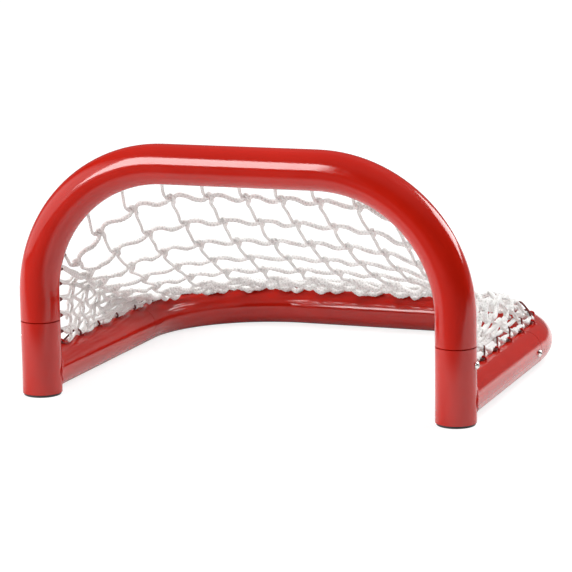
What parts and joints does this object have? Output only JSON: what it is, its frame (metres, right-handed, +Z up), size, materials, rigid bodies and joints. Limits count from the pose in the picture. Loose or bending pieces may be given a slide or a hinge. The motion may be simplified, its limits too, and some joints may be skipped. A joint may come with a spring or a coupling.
{
  "type": "hockey goal",
  "caption": "Low red steel tube hockey goal: a bent arch plugs into two legs, a bent base frame into two arms, and a knotted white net is laced to small welded eyelets.",
  "frame": {"origin": "on the floor, at the centre of the goal's footprint", "axes": "+Z up, +X from the left leg to the right leg, +Y from the goal mouth to the back tube"},
  "size_m": [0.4548, 0.42, 0.246],
  "materials": {
    "red_paint": "glossy red paint on steel tube",
    "black_plastic": "satin moulded plastic",
    "screw_steel": "zinc-plated steel",
    "net_cord": "braided off-white cord",
    "lace_cord": "thin dark red braided cord"
  },
  "bodies": {
    "root": {"front_arch": "red_paint", "left_leg": "red_paint", "right_leg": "red_paint", "left_arm": "red_paint", "right_arm": "red_paint", "back_frame": "red_paint", "left_foot_cap": "black_plastic", "right_foot_cap": "black_plastic", "left_leg_screw": "screw_steel", "right_leg_screw": "screw_steel", "left_arm_screw": "screw_steel", "right_arm_screw": "screw_steel", "arch_eyelets": "red_paint", "leg_eyelets": "red_paint", "arm_eyelets": "red_paint", "back_eyelets": "red_paint", "net": "net_cord", "arch_lace": "lace_cord", "base_lace": "lace_cord"}
  },
  "joints": []
}
